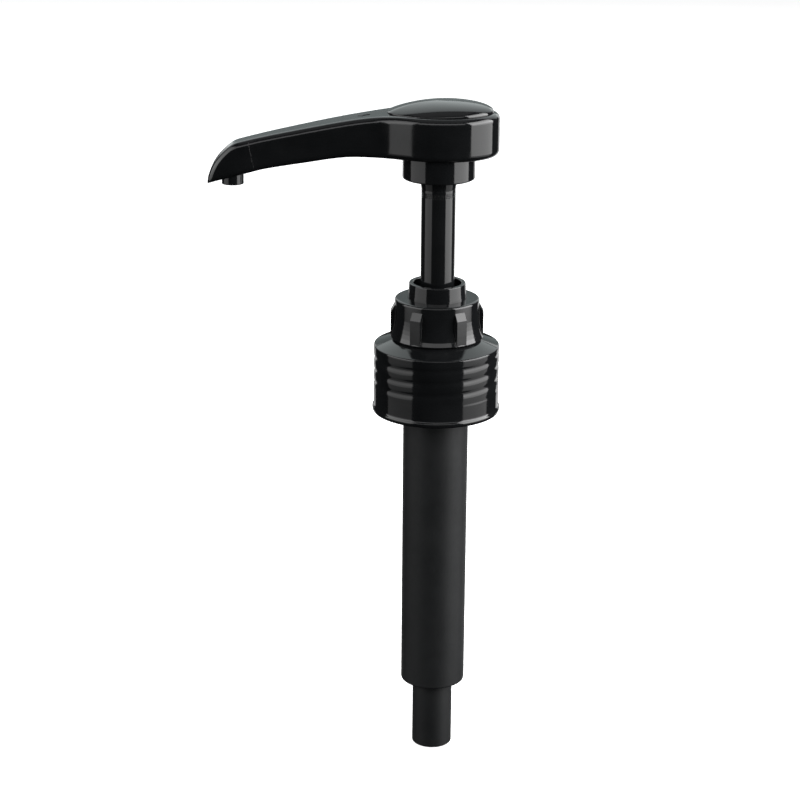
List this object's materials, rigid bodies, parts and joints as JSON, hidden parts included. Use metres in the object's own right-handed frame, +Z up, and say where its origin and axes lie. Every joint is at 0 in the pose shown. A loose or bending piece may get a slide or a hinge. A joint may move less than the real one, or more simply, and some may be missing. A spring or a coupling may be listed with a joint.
{
  "type": "condiment pump dispenser",
  "caption": "Push-down sauce pump for a 38 mm screw neck: domed head with a long falling spout, hollow stem, lobed lock nut, screw closure and a long cylinder with a dip-tube socket.",
  "frame": {"origin": "on the pump's axis, in the plane of the gasket's underside, where it rests on the bottle's rim", "axes": "+Z up along the stem, away from the bottle; -X towards the spout's nose at rest; +Y completes the right-handed frame"},
  "size_m": [0.097, 0.043, 0.2288],
  "materials": {
    "gloss_black_pp": "glossy moulded polypropylene",
    "satin_black_pe": "satin moulded polyethylene",
    "natural_pe": "natural milky polyethylene",
    "nitrile": "matte moulded rubber",
    "foam_pe": "closed-cell foam sheet",
    "spring_steel": "drawn stainless wire",
    "ball_glass": "ground glass ball"
  },
  "bodies": {
    "housing": {"cylinder": "satin_black_pe", "gasket": "foam_pe", "guide_bush": "gloss_black_pp", "stem_wiper": "nitrile", "bush_oring": "nitrile", "lock_nut": "gloss_black_pp", "inlet_cage": "natural_pe", "return_spring": "spring_steel"},
    "closure": {"closure": "gloss_black_pp"},
    "piston": {"piston_seal": "natural_pe"},
    "plunger": {"stem": "gloss_black_pp", "piston_core": "natural_pe", "ball_stop": "natural_pe", "head_shell": "gloss_black_pp", "head_cap": "gloss_black_pp", "nozzle_tip": "gloss_black_pp"},
    "outlet_valve": {"outlet_ball": "ball_glass"},
    "inlet_valve": {"inlet_ball": "ball_glass"}
  },
  "joints": [
    {"name": "closure_spin", "type": "hinge", "parent": "housing", "child": "closure", "pos_m": [0, 0, 0.006], "axis": [0, 0, 1], "continuous": true},
    {"name": "stroke", "type": "slide", "parent": "housing", "child": "piston", "axis": [0, 0, -1], "range_m": [0, 0.038], "stiffness_N_per_m": 650, "springref_m": -0.012, "deforming": ["return_spring"]},
    {"name": "head_swivel", "type": "hinge", "parent": "piston", "child": "plunger", "pos_m": [0, 0, 0.06], "axis": [0, 0, 1], "continuous": true},
    {"name": "outlet_lift", "type": "slide", "parent": "plunger", "child": "outlet_valve", "axis": [0, 0, 1], "range_m": [0, 0.002]},
    {"name": "inlet_lift", "type": "slide", "parent": "housing", "child": "inlet_valve", "axis": [0, 0, 1], "range_m": [0, 0.003]}
  ]
}
